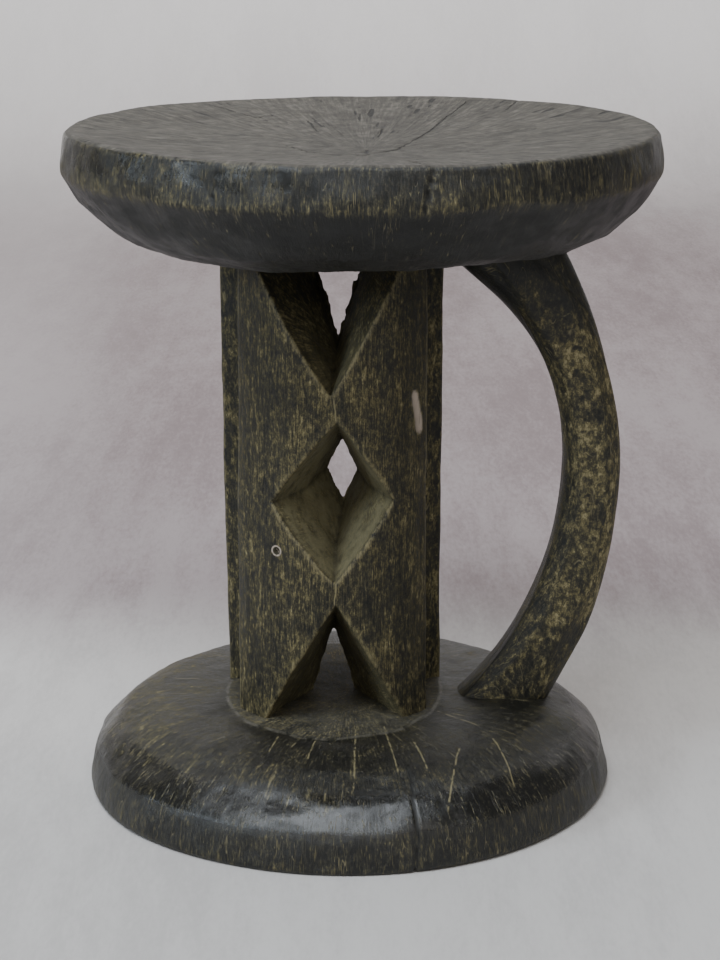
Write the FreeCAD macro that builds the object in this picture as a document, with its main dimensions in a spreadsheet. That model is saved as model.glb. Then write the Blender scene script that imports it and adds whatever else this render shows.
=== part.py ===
"""Round stool carved from one log: a dished seat, a pierced drum of two walls, a side handle and a domed base.

The log has no joints, fasteners or moving pieces, so each carved member is one solid that meets its
neighbours face to face. Row frame, in millimetres: +Z up, the origin on the floor under the seat's centre,
-Y the front of the stool and +X the side with the handle.
"""

import FreeCAD
import Part
import math
import os

import Sketcher

SIZES = {
    # seat
    "seat_radius": 151.0,
    "seat_height": 345.0,
    "seat_dish": 9.0,
    "rim_bevel": 3.0,
    "rim_height": 21.5,
    "bowl_radius": 60.0,
    "bowl_foot_radius": 94.0,
    "bowl_foot_rise": 4.0,
    "seat_land_radius": 76.0,
    "column_top": 283.0,
    # base
    "base_x": -6.6,
    "base_y": -5.0,
    "base_foot_radius": 138.0,
    "base_radius": 133.8,
    "base_band": 20.0,
    "base_shoulder": 60.0,
    "base_crown_radius": 105.0,
    "base_crown_height": 41.0,
    "base_land_radius": 70.0,
    "base_height": 42.0,
    # column: two walls of a drum, back to back
    "column_x": -15.0,
    "front_radius": 57.0,
    "front_half_width": 49.0,
    "rear_radius": 61.0,
    "rear_half_width": 57.5,
    "web_half_width": 26.0,
    "mouth_margin": 1.0,
    "throat_depth": 34.0,
    # openings, heights above the floor, each wide at the face and narrow at the middle of the drum
    "neck_shift": 4.0,
    "notch_top": 290.0,
    "notch_lean": -5.0,
    "notch_mouth_apex": 217.0,
    "notch_mouth_half": 48.5,
    "notch_throat_apex": 229.0,
    "notch_throat_half": 26.0,
    "notch_neck_apex": 237.5,
    "notch_neck_half": 16.5,
    "lozenge_mouth_height": 163.0,
    "lozenge_mouth_rise": 43.0,
    "lozenge_mouth_half": 37.0,
    "lozenge_throat_height": 162.0,
    "lozenge_throat_rise": 30.0,
    "lozenge_throat_half": 17.0,
    "lozenge_neck_height": 166.0,
    "lozenge_neck_rise": 17.0,
    "lozenge_neck_half": 8.0,
    "arch_bottom": 36.0,
    "arch_mouth_apex": 109.5,
    "arch_mouth_half": 46.0,
    "arch_throat_apex": 92.0,
    "arch_throat_half": 26.0,
    "arch_neck_apex": 81.5,
    "arch_neck_half": 13.0,
    # handle, drawn as its outline seen from the front
    "handle_thickness": 30.0,
    "handle_edge": 8.0,
    "handle_embed": 14.0,
    "outer_reach": 135.0,
    "outer_radius": 245.0,
    "outer_level": 165.0,
    "inner_reach": 105.0,
    "inner_level": 172.0,
    "inner_upper_radius": 110.0,
    "inner_lower_radius": 172.0,
    "inner_upper_end": 89.0,
    "handle_top_x": 47.0,
}


class Size:
    """A length with the sheet expression that gives it, so a sketch gets both from one line of arithmetic."""

    def __init__(self, value, text):
        self.value = value
        self.text = text

    def _join(self, other, sign, value):
        return Size(value, f"({self.text} {sign} {other.text})")

    def __add__(self, other):
        return self._join(other, "+", self.value + other.value)

    def __sub__(self, other):
        return self._join(other, "-", self.value - other.value)

    def __mul__(self, other):
        return self._join(other, "*", self.value * other.value)

    def __truediv__(self, other):
        return self._join(other, "/", self.value / other.value)


def number(value):
    """A plain number as a Size."""
    return Size(float(value), str(value))


def root(size):
    """The square root of a Size."""
    return Size(math.sqrt(size.value), f"sqrt({size.text})")


def circle_reach(radius, offset):
    """How far a circle of this radius reaches at this offset from its centre."""
    return root(radius * radius - offset * offset)


def make_sheet(doc):
    """The spreadsheet of driving dimensions, and each of them as a Size by its alias."""
    sheet = doc.addObject("Spreadsheet::Sheet", "Sizes")
    sizes = {}
    for row, (alias, value) in enumerate(SIZES.items(), start=1):
        sheet.set(f"A{row}", alias)
        sheet.set(f"B{row}", str(value))
        sheet.setAlias(f"B{row}", alias)
        sizes[alias] = Size(value, f"Sizes.{alias}")
    doc.recompute()
    return sizes


def add_body(doc, name):
    """An empty PartDesign body whose name is also its label."""
    body = doc.addObject("PartDesign::Body", name)
    body.Label = name
    return body


def add_sketch(body, name, role, offset=None):
    """A sketch on one of the body's own origin planes, moved along the plane's normal by offset."""
    sketch = body.newObject("Sketcher::SketchObject", name)
    plane = next(p for p in body.Origin.OriginFeatures if p.Role == role)
    sketch.AttachmentSupport = [(plane, "")]
    sketch.MapMode = "FlatFace"
    if offset is not None:
        sketch.AttachmentOffset.Base.z = offset.value
        sketch.setExpression("AttachmentOffset.Base.z", offset.text)
    return sketch


def arc_middle(start, end, radius):
    """The point halfway along the arc from start to end. A positive radius bulges to the right of the way there."""
    chord = end - start
    half = chord.Length / 2
    sagitta = abs(radius) - math.sqrt(radius * radius - half * half)
    right = FreeCAD.Vector(chord.y, -chord.x, 0).normalize()
    return start + chord / 2 + right * math.copysign(sagitta, radius)


def draw_outline(sketch, corners):
    """Draws a closed outline and ties it to the sheet.

    Each corner is (x, y) or (x, y, radius, side): the outline reaches it by a line, or by an arc of that
    radius that bulges to the right (side 1) or left (side -1) of the way there.
    """
    points = [FreeCAD.Vector(corner[0].value, corner[1].value, 0) for corner in corners]
    edges = []
    for start, end, corner in zip(points[-1:] + points[:-1], points, corners):
        if len(corner) == 2:
            shape = Part.LineSegment(start, end)
        else:
            shape = Part.Arc(start, arc_middle(start, end, corner[2].value * corner[3]), end)
        edges.append(sketch.addGeometry(shape, False))
    ends = [end_indices(sketch, edge, start) for edge, start in zip(edges, points[-1:] + points[:-1])]
    for index, corner in enumerate(corners):
        following = (index + 1) % len(corners)
        tie = Sketcher.Constraint(
            "Coincident", edges[index], ends[index][1], edges[following], ends[following][0]
        )
        sketch.addConstraint(tie)
        place_point(sketch, edges[index], ends[index][1], corner[0], "DistanceX", -2)
        place_point(sketch, edges[index], ends[index][1], corner[1], "DistanceY", -1)
        if len(corner) > 2:
            radius = Sketcher.Constraint("Radius", edges[index], corner[2].value)
            bind(sketch, sketch.addConstraint(radius), corner[2])


def end_indices(sketch, edge, start):
    """The indices, in order, of the edge's end at start and of its other end. Sketcher turns some arcs round."""
    starts_there = sketch.getPoint(edge, 1).distanceToPoint(start) < 1e-6
    return (1, 2) if starts_there else (2, 1)


def place_point(sketch, edge, end, size, kind, axis):
    """Puts one coordinate of an edge's end where size says, or on the axis where it is zero."""
    if abs(size.value) < 1e-9:
        sketch.addConstraint(Sketcher.Constraint("PointOnObject", edge, end, axis))
    else:
        distance = Sketcher.Constraint(kind, -1, 1, edge, end, size.value)
        bind(sketch, sketch.addConstraint(distance), size)


def bind(sketch, index, size):
    """Ties a constraint to the sheet."""
    sketch.setExpression(f"Constraints[{index}]", size.text)


def revolve(body, sketch):
    """Turns a sketch of the XZ plane once round the body's Z axis."""
    turn = body.newObject("PartDesign::Revolution", body.Name + "_turn")
    turn.Profile = (sketch, [""])
    turn.ReferenceAxis = (sketch, ["V_Axis"])
    turn.Angle = 360.0
    return turn


def build_seat(doc, s):
    """Thick disc with a shallow dish on top, an upright rim and a bowl-shaped underside with a flat land."""
    body = add_body(doc, "seat")
    zero = number(0)
    dish_edge = s["seat_radius"] - s["rim_bevel"]
    dish_curve = (dish_edge * dish_edge + s["seat_dish"] * s["seat_dish"]) / (number(2) * s["seat_dish"])
    draw_outline(
        add_sketch(body, "seat_profile", "XZ_Plane"),
        [
            (zero, s["column_top"]),
            (s["seat_land_radius"], s["column_top"]),
            (s["bowl_foot_radius"], s["column_top"] + s["bowl_foot_rise"]),
            (s["seat_radius"], s["seat_height"] - s["rim_height"], s["bowl_radius"], 1),
            (s["seat_radius"], s["seat_height"] - s["rim_bevel"]),
            (dish_edge, s["seat_height"]),
            (zero, s["seat_height"] - s["seat_dish"], dish_curve, -1),
        ],
    )
    revolve(body, doc.getObject("seat_profile"))
    return body


def build_base(doc, s):
    """Domed disc with a steep band round its foot and a flat land on top for the column."""
    body = add_body(doc, "base")
    body.setExpression("Placement.Base.x", s["base_x"].text)
    body.setExpression("Placement.Base.y", s["base_y"].text)
    zero = number(0)
    draw_outline(
        add_sketch(body, "base_profile", "XZ_Plane"),
        [
            (zero, zero),
            (s["base_foot_radius"], zero),
            (s["base_radius"], s["base_band"]),
            (s["base_crown_radius"], s["base_crown_height"], s["base_shoulder"], 1),
            (s["base_land_radius"], s["base_height"]),
            (zero, s["base_height"]),
        ],
    )
    revolve(body, doc.getObject("base_profile"))
    return body


def draw_triangle(sketch, tip, middle, half):
    """A triangle with its tip at one point and its level side, 2 * half wide, centred on another."""
    draw_outline(sketch, [(middle[0] - half, middle[1]), tip, (middle[0] + half, middle[1])])


def draw_lozenge(sketch, shift, level, rise, half):
    """A lozenge with its corners at rise above and below level, and half each way."""
    draw_outline(
        sketch,
        [(shift - half, level), (shift, level + rise), (shift + half, level), (shift, level - rise)],
    )


def cut_funnel(body, name, planes, draw):
    """Cuts a funnel through three sections: the mouth, the throat behind it and the neck at the web's middle."""
    sections = []
    for stage, offset, shift in planes:
        sketch = add_sketch(body, f"{body.Name}_{name}_{stage}", "XZ_Plane", offset)
        draw(sketch, stage, shift)
        sections.append(sketch)
    cut = body.newObject("PartDesign::SubtractiveLoft", f"{body.Name}_{name}")
    cut.Profile = (sections[0], [""])
    cut.Sections = sections[1:]
    cut.Ruled = True
    body.Document.recompute()


def draw_wall_plan(sketch, radius, half_width, web):
    """The plan of a wall: an arc of the drum, narrowing inwards to the web at the drum's middle."""
    corner = number(0) - circle_reach(radius, half_width)
    zero = number(0)
    draw_outline(
        sketch,
        [
            (web, zero),
            (number(0) - web, zero),
            (number(0) - half_width, corner),
            (half_width, corner, radius, 1),
        ],
    )


def build_wall(doc, s, name, side):
    """One wall of the drum, modelled facing -Y from its foot up and then turned to its own side."""
    body = add_body(doc, f"{name}_wall")
    radius = s[f"{name}_radius"]
    foot = s["base_height"]
    plan = add_sketch(body, f"{name}_plan", "XY_Plane")
    draw_wall_plan(plan, radius, s[f"{name}_half_width"], s["web_half_width"])
    block = body.newObject("PartDesign::Pad", f"{name}_block")
    block.Profile = (plan, [""])
    block.setExpression("Length", (s["column_top"] - foot).text)
    doc.recompute()

    neck_shift = s["neck_shift"] * number(side)
    throat_plane = radius - s["throat_depth"]
    planes = [
        ("mouth", radius + s["mouth_margin"], number(0)),
        ("throat", throat_plane, neck_shift * s["throat_depth"] / radius),
        ("neck", number(0), neck_shift),
    ]

    def notch(sketch, stage, shift):
        tip = (shift, s[f"notch_{stage}_apex"] - foot)
        lean = number(0) if stage == "neck" else s["notch_lean"]
        draw_triangle(sketch, tip, (shift + lean, s["notch_top"] - foot), s[f"notch_{stage}_half"])

    def lozenge(sketch, stage, shift):
        level = s[f"lozenge_{stage}_height"] - foot
        draw_lozenge(sketch, shift, level, s[f"lozenge_{stage}_rise"], s[f"lozenge_{stage}_half"])

    def arch(sketch, stage, shift):
        tip = (shift, s[f"arch_{stage}_apex"] - foot)
        draw_triangle(sketch, tip, (shift, s["arch_bottom"] - foot), s[f"arch_{stage}_half"])

    cut_funnel(body, "notch", planes, notch)
    cut_funnel(body, "lozenge", planes, lozenge)
    cut_funnel(body, "arch", planes, arch)

    half_turn = FreeCAD.Rotation(FreeCAD.Vector(0, 0, 1), 0 if side > 0 else 180)
    body.Placement = FreeCAD.Placement(FreeCAD.Vector(s["column_x"].value, 0, foot.value), half_turn)
    body.setExpression("Placement.Base.x", s["column_x"].text)
    body.setExpression("Placement.Base.z", foot.text)
    return body


def draw_handle_outline(sketch, s):
    """The bowed outline: one arc outside, two tangent arcs inside, both ends run on into the seat and base."""
    top = s["column_top"] + s["handle_embed"]
    bottom = s["base_height"] - s["handle_embed"]
    outer_axis = s["outer_reach"] - s["outer_radius"]
    upper_axis = s["inner_reach"] - s["inner_upper_radius"]
    lower_axis = s["inner_reach"] - s["inner_lower_radius"]
    top_x = outer_axis + circle_reach(s["outer_radius"], top - s["outer_level"])
    bottom_x = outer_axis + circle_reach(s["outer_radius"], s["outer_level"] - bottom)
    inner_bottom_x = lower_axis + circle_reach(s["inner_lower_radius"], s["inner_level"] - bottom)
    upper_end_x = upper_axis + circle_reach(s["inner_upper_radius"], s["inner_upper_end"])
    draw_outline(
        sketch,
        [
            (bottom_x, bottom),
            (top_x, top, s["outer_radius"], 1),
            (s["handle_top_x"], top),
            (s["handle_top_x"], s["column_top"]),
            (upper_end_x, s["inner_level"] + s["inner_upper_end"]),
            (s["inner_reach"], s["inner_level"], s["inner_upper_radius"], -1),
            (inner_bottom_x, bottom, s["inner_lower_radius"], -1),
        ],
    )


def long_edges(shape, thickness):
    """The names of the edges that follow the bow on its two flat sides."""
    names = []
    for index, edge in enumerate(shape.Edges, start=1):
        on_side = all(abs(abs(v.Point.y) - thickness / 2) < 1e-6 for v in edge.Vertexes)
        if on_side and isinstance(edge.Curve, Part.Circle):
            names.append(f"Edge{index}")
    return names


def build_handle(doc, s, seat, base):
    """Bowed grip beside the column, trimmed to the seat's underside and the base's dome."""
    blank = add_body(doc, "handle_blank")
    outline = add_sketch(blank, "handle_outline", "XZ_Plane")
    draw_handle_outline(outline, s)
    slab = blank.newObject("PartDesign::Pad", "handle_slab")
    slab.Profile = (outline, [""])
    slab.Midplane = True
    slab.setExpression("Length", s["handle_thickness"].text)
    doc.recompute()
    rounding = blank.newObject("PartDesign::Fillet", "handle_rounding")
    rounding.Base = (slab, long_edges(slab.Shape, s["handle_thickness"].value))
    rounding.setExpression("Radius", s["handle_edge"].text)
    doc.recompute()

    lower_trim = doc.addObject("Part::Cut", "handle_lower_trim")
    lower_trim.Base = blank
    lower_trim.Tool = base
    handle = doc.addObject("Part::Cut", "handle")
    handle.Base = lower_trim
    handle.Tool = seat
    handle.Label = "handle"
    return handle


def check_document(doc, subparts):
    """Stops the script if an object failed, or a sub-part isn't one valid solid."""
    for item in doc.Objects:
        if "Invalid" in item.State or "Error" in item.State:
            raise RuntimeError(f"{item.Name} failed: {item.State}")
    for item in subparts:
        shape = item.Shape
        if shape.isNull() or not shape.isValid() or len(shape.Solids) != 1:
            raise RuntimeError(f"{item.Label} is not one valid solid")
        print(f"{item.Label}: {shape.Volume / 1000:.1f} cm3")


def main():
    doc = FreeCAD.newDocument("stool")
    s = make_sheet(doc)
    seat = build_seat(doc, s)
    base = build_base(doc, s)
    front_wall = build_wall(doc, s, "front", 1)
    rear_wall = build_wall(doc, s, "rear", -1)
    doc.recompute()
    handle = build_handle(doc, s, seat, base)
    doc.recompute()
    subparts = [seat, base, front_wall, rear_wall, handle]
    check_document(doc, subparts)
    os.makedirs("parts", exist_ok=True)
    for item in subparts:
        item.Shape.exportStep(os.path.join("parts", item.Label + ".step"))


main()
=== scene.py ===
"""The looks of a round stool carved from one log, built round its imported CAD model.

The log's pith stands upright below the middle of the seat, so one wood grain, laid out round that line, runs
through every member. Lengths here are millimetres in the row frame, and a mesh turns to metres when it is
made.
"""

import math

import bpy
import numpy as np
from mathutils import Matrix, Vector


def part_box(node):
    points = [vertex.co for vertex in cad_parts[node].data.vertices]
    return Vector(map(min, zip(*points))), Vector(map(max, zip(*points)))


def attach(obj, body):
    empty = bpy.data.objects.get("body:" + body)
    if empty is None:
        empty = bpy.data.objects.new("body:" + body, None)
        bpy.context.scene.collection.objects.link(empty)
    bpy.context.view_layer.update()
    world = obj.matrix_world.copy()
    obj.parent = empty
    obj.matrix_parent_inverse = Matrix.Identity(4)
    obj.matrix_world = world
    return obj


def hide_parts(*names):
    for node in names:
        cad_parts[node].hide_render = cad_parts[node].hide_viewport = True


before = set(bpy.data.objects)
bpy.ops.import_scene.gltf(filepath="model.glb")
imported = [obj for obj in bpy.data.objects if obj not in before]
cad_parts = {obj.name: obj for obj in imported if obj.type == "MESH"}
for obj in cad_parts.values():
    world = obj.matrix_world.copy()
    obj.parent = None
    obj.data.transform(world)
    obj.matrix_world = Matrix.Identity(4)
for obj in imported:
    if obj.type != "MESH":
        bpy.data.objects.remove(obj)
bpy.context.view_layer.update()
MM = 0.001


def box_mm(node):
    """A CAD node's lowest and highest corners in millimetres."""
    low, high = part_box(node)
    return np.array(low) / MM, np.array(high) / MM


seat_low, seat_high = box_mm("seat")
base_low, base_high = box_mm("base")
front_low, front_high = box_mm("front_wall")
rear_low, rear_high = box_mm("rear_wall")
handle_low, handle_high = box_mm("handle")

SEAT_RADIUS = (seat_high[0] - seat_low[0]) / 2
SEAT_TOP = seat_high[2]
SEAT_UNDER = seat_low[2]
BASE_X, BASE_Y = (base_low[:2] + base_high[:2]) / 2
BASE_TOP = base_high[2]
DRUM_X = (front_low[0] + front_high[0]) / 2
FRONT_RADIUS = -front_low[1]
REAR_RADIUS = rear_high[1]
HANDLE_REACH = handle_high[0]
HANDLE_HALF_DEPTH = (handle_high[1] - handle_low[1]) / 2


# Numbers over a surface

def smooth_step(value, low, high):
    """0 at low, 1 at high, and an eased slope between. low may be the larger one."""
    part = np.clip((value - low) / (high - low), 0, 1)
    return part * part * (3 - 2 * part)


def noise(points, cell, seed):
    """Smooth noise from -1 to 1: random values on a lattice of this cell size, eased between them."""
    scaled = points / cell
    corner = np.floor(scaled).astype(np.int64)
    ease = scaled - corner
    ease = ease * ease * (3 - 2 * ease)
    table = np.random.default_rng(seed).uniform(-1, 1, 4096)
    total = np.zeros(len(points))
    for step in np.ndindex(2, 2, 2):
        spot = corner + step
        key = spot[:, 0] * 73856093 ^ spot[:, 1] * 19349663 ^ spot[:, 2] * 83492791
        weight = np.prod(np.where(step, ease, 1 - ease), axis=1)
        total += weight * table[key & 4095]
    return total


def layered_noise(points, cell, seed, layers=3):
    """Noise with finer and fainter layers on top."""
    cell = np.asarray(cell, float)
    return sum(noise(points, cell / 2**k, seed + k) / 2**k for k in range(layers))


def soft_min(values, softness):
    """The smallest of each row's values, rounded off where two are close."""
    least = values.min(axis=1, keepdims=True)
    spread = np.exp((least - values) / softness).sum(axis=1)
    return least[:, 0] - softness * np.log(spread)


def blade_cuts(points, normals, sites, site_normals, depth, ridge, sweep=None):
    """How far each point moves along its normal to lie on the flats that a blade leaves at the sites.

    Each flat is a plane depth below its site. Where no flat reaches, the surface stays. ridge rounds the
    crests between flats. With a sweep, the blade's path curves upwards with that radius, so that flats end
    along Z.
    """
    moved = np.empty(len(points))
    level = np.einsum("ij,ij->i", site_normals, sites) - depth
    for part in np.array_split(np.arange(len(points)), len(points) // 8192 + 1):
        facing = normals[part] @ site_normals.T
        height = (level - points[part] @ site_normals.T) / np.maximum(facing, 0.2)
        if sweep:
            height += (points[part, 2:3] - sites[:, 2]) ** 2 / (2 * sweep)
        height[facing < 0.35] = 99.0
        height = np.column_stack([height, np.full(len(part), ridge)])
        moved[part] = soft_min(height, ridge)
    return moved


# Meshes

class Skin:
    """A closed mesh of quads under way: points in millimetres, and values that the materials read."""

    def __init__(self, points, quads):
        self.points = points
        self.quads = quads
        self.values = {}

    def normals(self):
        corners = self.points[self.quads]
        face = np.cross(corners[:, 2] - corners[:, 0], corners[:, 3] - corners[:, 1])
        total = np.column_stack([self._gather(self.quads, np.repeat(face[:, k], 4)) for k in range(3)])
        return total / np.maximum(np.linalg.norm(total, axis=1, keepdims=True), 1e-12)

    def _gather(self, index, weight):
        return np.bincount(index.ravel(), weight, len(self.points))

    def push(self, amount):
        """Moves each point along its normal by its own amount."""
        self.points = self.points + self.normals() * amount[:, None]

    def relief(self, rounds):
        """How far each point stands out of its smoothed surroundings: below zero in a hollow."""
        start = self.quads
        end = np.roll(self.quads, -1, axis=1)
        degree = self._gather(start, np.ones(start.size)) + self._gather(end, np.ones(end.size))
        smooth = self.points
        for _ in range(rounds):
            total = [
                self._gather(start, smooth[end, k].ravel()) + self._gather(end, smooth[start, k].ravel())
                for k in range(3)
            ]
            smooth = np.column_stack(total) / degree[:, None]
        return np.einsum("ij,ij->i", self.points - smooth, self.normals())

    def build(self, name, node, slot, material):
        """The Blender object, riding on the stool's one body in place of its CAD node."""
        mesh = bpy.data.meshes.new(name)
        mesh.vertices.add(len(self.points))
        mesh.vertices.foreach_set("co", (self.points * MM).astype(np.float32).ravel())
        mesh.loops.add(self.quads.size)
        mesh.loops.foreach_set("vertex_index", self.quads.astype(np.int32).ravel())
        mesh.polygons.add(len(self.quads))
        mesh.polygons.foreach_set("loop_start", np.arange(0, self.quads.size, 4, dtype=np.int32))
        mesh.update(calc_edges=True)
        mesh.validate()
        for key, value in self.values.items():
            mesh.attributes.new(key, "FLOAT", "POINT").data.foreach_set("value", value.astype(np.float32))
        mesh.shade_smooth()
        mesh.materials.append(material)
        piece = bpy.data.objects.new(name, mesh)
        bpy.context.scene.collection.objects.link(piece)
        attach(piece, "root")
        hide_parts(node)
        return piece


def wear_values(skin):
    """Crests and hollows from 0 to 1, for rubbed edges and for darkening the hollows."""
    fine = skin.relief(3)
    skin.values["crest"] = np.clip(fine / 0.45 - 0.1, 0, 1)
    skin.values["hollow"] = np.clip(-fine / 0.4, 0, 1)


def bow(start, end, rise, count=24):
    """Points from start to end along an arc that rises this far to the left of the way there."""
    start, end = np.array(start, float), np.array(end, float)
    way = end - start
    left = np.array([-way[1], way[0]]) / np.hypot(*way)
    part = np.linspace(0, 1, count)[:, None]
    return start + way * part + left * rise * 4 * part * (1 - part)


def outline_at(outline, along):
    """Radius and height of an outline at distances along it, and its outward normal there."""
    step = np.hypot(*np.diff(outline, axis=0).T)
    length = np.concatenate([[0], np.cumsum(step)])
    spot = np.column_stack([np.interp(along, length, outline[:, k]) for k in (0, 1)])
    ahead = np.column_stack([np.interp(along + 0.6, length, outline[:, k]) for k in (0, 1)])
    behind = np.column_stack([np.interp(along - 0.6, length, outline[:, k]) for k in (0, 1)])
    way = (ahead - behind) / np.maximum(np.hypot(*(ahead - behind).T), 1e-9)[:, None]
    return spot, np.column_stack([-way[:, 1], way[:, 0]])


def around(angle, flat):
    """Points or normals in space from (radius, height) pairs turned to each angle about Z."""
    return np.column_stack([flat[:, 0] * np.cos(angle), flat[:, 0] * np.sin(angle), flat[:, 1]])


def ring_grid(rings):
    """A disc's grid of square cells laid out as rings: each point's ring and angle, and the quads."""
    side = np.arange(-rings, rings + 1)
    column, row = (part.ravel() for part in np.meshgrid(side, side, indexing="ij"))
    ring = np.maximum(abs(column), abs(row))
    size = np.maximum(ring, 1)
    angle = np.select(
        [column == ring, row == ring, column == -ring],
        [row / size, 2 - column / size, 4 - row / size],
        6 + column / size,
    ) * (math.pi / 4)
    index = np.arange(len(ring)).reshape(len(side), len(side))
    quads = np.stack([index[:-1, :-1], index[1:, :-1], index[1:, 1:], index[:-1, 1:]], axis=-1)
    return ring, angle, quads.reshape(-1, 4)


def turned_skin(outline, top_end, bottom_start, rings, rows):
    """A turned solid with even quads: a disc on top as far as top_end, rows down the side and a disc below.

    top_end and bottom_start are distances along the outline, which runs from the top's centre to the
    bottom's.
    Returns the skin with each point's angle and its distance along the outline.
    """
    total = np.hypot(*np.diff(outline, axis=0).T).sum()
    ring, disc_angle, disc_quads = ring_grid(rings)
    border = np.flatnonzero(ring == rings)
    border = border[np.argsort(disc_angle[border] % math.tau)]
    columns = len(border)
    levels = np.linspace(top_end, bottom_start, rows + 1)[1:-1]
    angle = [disc_angle, np.tile(disc_angle[border], len(levels)), disc_angle]
    along = [
        ring / rings * top_end,
        np.repeat(levels, columns),
        total - ring / rings * (total - bottom_start),
    ]
    disc_points = len(ring)
    last_disc = disc_points + columns * len(levels)
    side = np.arange(disc_points, last_disc).reshape(len(levels), columns)
    side = np.vstack([border, side, border + last_disc])
    turn = np.roll(side, -1, axis=1)
    side_quads = np.stack([side[:-1], side[1:], turn[1:], turn[:-1]], axis=-1).reshape(-1, 4)
    quads = np.vstack([disc_quads, side_quads, disc_quads[:, ::-1] + last_disc])
    angle, along = np.concatenate(angle), np.concatenate(along)
    skin = Skin(around(angle, outline_at(outline, along)[0]), quads)
    return skin, angle % math.tau, along


def strewn_sites(outline, start, end, pitch, width, seed, tilt=0.05):
    """Blade sites on a turned solid, in rings a pitch apart and a width apart round each ring."""
    random = np.random.default_rng(seed)
    rows = max(1, round((end - start) / pitch))
    angles, alongs = [], []
    for row in range(rows):
        along = start + (row + 0.5) * (end - start) / rows
        radius = outline_at(outline, np.array([along]))[0][0, 0]
        count = max(3, round(math.tau * radius / width))
        spot = (np.arange(count) + random.uniform(-0.32, 0.32, count) + random.uniform()) / count
        angles.append(spot * math.tau)
        alongs.append(along + random.uniform(-0.3, 0.3, count) * pitch)
    angle, along = np.concatenate(angles), np.concatenate(alongs)
    spot, normal = outline_at(outline, along)
    normals = around(angle, normal) + random.normal(0, tilt, (len(angle), 3))
    return around(angle, spot), normals / np.linalg.norm(normals, axis=1, keepdims=True)


def surface_net(field, low, step):
    """A quad skin where the field on a regular grid changes sign from solid (below zero) to air."""
    cells = np.array(field.shape) - 1
    total = np.zeros((*cells, 3))
    count = np.zeros(cells)
    crossings = []
    for axis in range(3):
        near = np.take(field, range(cells[axis]), axis)
        far = np.take(field, range(1, cells[axis] + 1), axis)
        crossed = (near < 0) != (far < 0)
        share = np.where(crossed, near / np.where(crossed, near - far, 1), 0)
        crossings.append((crossed, near < 0))
        others = [k for k in range(3) if k != axis]
        for shift in np.ndindex(2, 2):
            window = [slice(None)] * 3
            for k, offset in zip(others, shift):
                window[k] = slice(offset, offset + cells[k])
            here = crossed[tuple(window)]
            total[..., axis] += share[tuple(window)]
            for k, offset in zip(others, shift):
                total[..., k] += here * offset
            count += here
    used = count > 0
    index = np.full(cells, -1)
    index[used] = np.arange(used.sum())
    points = low + step * (np.argwhere(used) + total[used] / count[used][:, None])
    quads = []
    for axis, (crossed, solid) in enumerate(crossings):
        b, c = (axis + 1) % 3, (axis + 2) % 3
        spots = np.argwhere(crossed)
        spots = spots[(spots[:, b] > 0) & (spots[:, b] < cells[b])]
        spots = spots[(spots[:, c] > 0) & (spots[:, c] < cells[c])]
        back_b, back_c = np.eye(3, dtype=int)[b], np.eye(3, dtype=int)[c]
        ring = [spots - back_b - back_c, spots - back_c, spots, spots - back_b]
        quad = np.stack([index[tuple(corner.T)] for corner in ring], axis=1)
        outward = solid[tuple(spots.T)]
        quads.append(np.where(outward[:, None], quad, quad[:, ::-1]))
    return Skin(points, np.vstack(quads))


# Seat and base

RINGS = 80
RIM_CRACKS = [
    # path as (degrees, height), width and depth
    ([(-77.0, 347), (-78.4, 336), (-79.3, 325)], 0.9, 1.6),
    ([(-115.2, 340), (-116.6, 327)], 0.8, 0.8),
    ([(-109.3, 338), (-109.6, 330)], 0.6, 0.5),
]
BASE_CRACKS = [([(-74.0, 40), (-75.6, 30), (-75.2, 22), (-76.5, 0)], 0.9, 0.7)]
TOP_CRACKS = [
    # start, end and width of each crack across the seat's top
    ((1, -57), (17, -28), 1.1),
    ((17, -28), (32, 28), 0.8),
    ((32, 28), (44, 76), 0.9),
    ((44, 76), (58, 122), 0.7),
    ((1, -57), (-15, -54), 1.1),
    ((-15, -54), (-29, -36), 1.0),
    ((-29, -36), (-38, -14), 0.7),
    ((2, -46), (2, -27), 1.8),
    ((-48, 85), (-56, 76), 0.8),
    ((-56, 76), (-84, 109), 0.7),
    ((-29, 76), (-23, 41), 0.9),
    ((79, 95), (89, 125), 0.8),
    ((-1, 76), (-1, 95), 0.8),
    ((11, 50), (8, 20), 0.8),
]


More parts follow.
